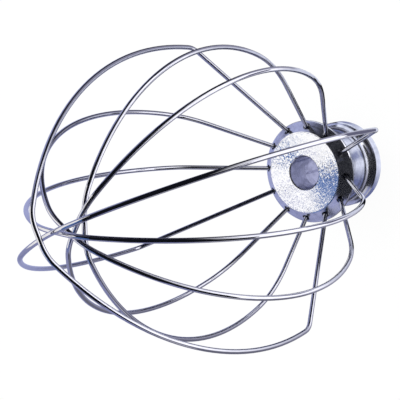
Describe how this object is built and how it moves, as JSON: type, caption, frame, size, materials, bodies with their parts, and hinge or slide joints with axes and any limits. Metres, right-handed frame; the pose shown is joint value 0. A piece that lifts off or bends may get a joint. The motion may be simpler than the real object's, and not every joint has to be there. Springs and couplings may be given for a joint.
{
  "type": "wire whisk",
  "caption": "Wire whisk for a stand mixer: a turned metal hub with a bored bayonet socket holds a nest of bent wire loops that beat and aerate food.",
  "frame": {"origin": "centre of the hub's seat face, on the axis of the shaft bore", "axes": "+Z along the shaft bore's axis, from the seat face to the whisk's tip; +X through the first wire hole"},
  "size_m": [0.1093, 0.1032, 0.1693],
  "materials": {
    "hub_metal": "turned and polished, with a matte front face",
    "wire_steel": "polished"
  },
  "bodies": {
    "root": {"hub": "hub_metal", "wire_loop_1": "wire_steel", "wire_loop_2": "wire_steel", "wire_loop_3": "wire_steel", "wire_loop_4": "wire_steel", "wire_loop_5": "wire_steel", "wire_loop_6": "wire_steel"}
  },
  "joints": []
}
